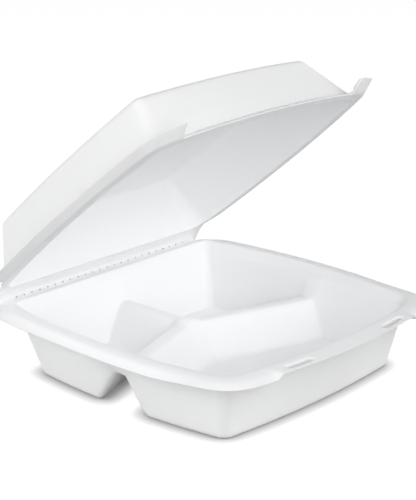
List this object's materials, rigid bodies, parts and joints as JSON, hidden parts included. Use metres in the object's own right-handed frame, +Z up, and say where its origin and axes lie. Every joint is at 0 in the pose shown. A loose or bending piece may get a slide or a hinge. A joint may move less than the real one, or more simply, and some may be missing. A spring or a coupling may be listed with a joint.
{
  "type": "foam clamshell container",
  "caption": "Hinged foam take-out container: a tray with a Y-shaped divider and turned rim, and a domed lid that folds over it on a perforated crease.",
  "frame": {"origin": "on the table, under the middle of the tray's rim, on the flat underside of the front compartment", "axes": "+X along the hinge, to the right seen from the front; +Y from the front towards the hinge; +Z up"},
  "size_m": [0.216, 0.2078, 0.1792],
  "materials": {
    "foam": "satin"
  },
  "bodies": {
    "tray_body": {"tray": "foam"},
    "lid_body": {"lid": "foam"}
  },
  "joints": [
    {"name": "lid_hinge", "type": "hinge", "parent": "tray_body", "child": "lid_body", "pos_m": [0, 0.098, 0.0378], "axis": [-1, 0, 0], "range_deg": [-42, 126]}
  ]
}
